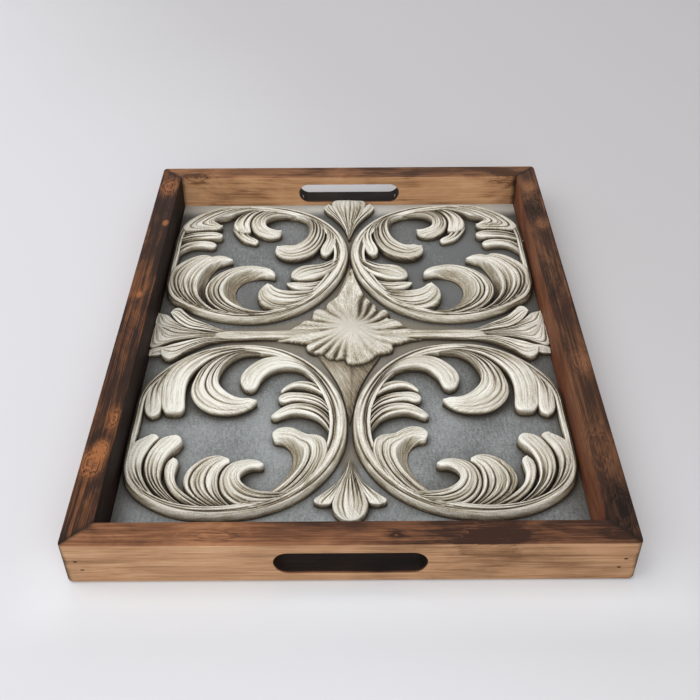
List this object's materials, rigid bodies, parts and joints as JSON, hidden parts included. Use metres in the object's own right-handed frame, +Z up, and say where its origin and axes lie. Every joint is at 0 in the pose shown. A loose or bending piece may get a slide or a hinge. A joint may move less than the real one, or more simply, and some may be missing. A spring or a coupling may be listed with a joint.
{
  "type": "serving tray",
  "caption": "Rectangular mitred timber serving tray with a finger slot in each end rail and a scrolling leaf relief glued on its painted floor.",
  "frame": {"origin": "middle of the footprint, on the surface the tray stands on", "axes": "+Z up, +Y along the tray from its front slotted rail to its back slotted rail, +X across it"},
  "size_m": [0.356, 0.459, 0.036],
  "materials": {
    "rail_timber": "dark walnut stain, satin",
    "base_plywood": "bare plywood",
    "ground_paint": "brushed grey-blue paint on hardboard",
    "moulding_paint": "off-white paint with dark glaze in the hollows",
    "brad_steel": "darkened",
    "pin_steel": "bright"
  },
  "bodies": {
    "root": {"rail_front": "rail_timber", "rail_back": "rail_timber", "rail_left": "rail_timber", "rail_right": "rail_timber", "base_board": "base_plywood", "ground_panel": "ground_paint", "rosette": "moulding_paint", "scroll_front_left": "moulding_paint", "scroll_front_right": "moulding_paint", "scroll_back_left": "moulding_paint", "scroll_back_right": "moulding_paint", "fan_left": "moulding_paint", "fan_right": "moulding_paint", "fan_front": "moulding_paint", "fan_back": "moulding_paint", "spur_front": "moulding_paint", "spur_back": "moulding_paint", "corner_brads_front": "brad_steel", "corner_brads_back": "brad_steel", "base_pins": "pin_steel"}
  },
  "joints": []
}
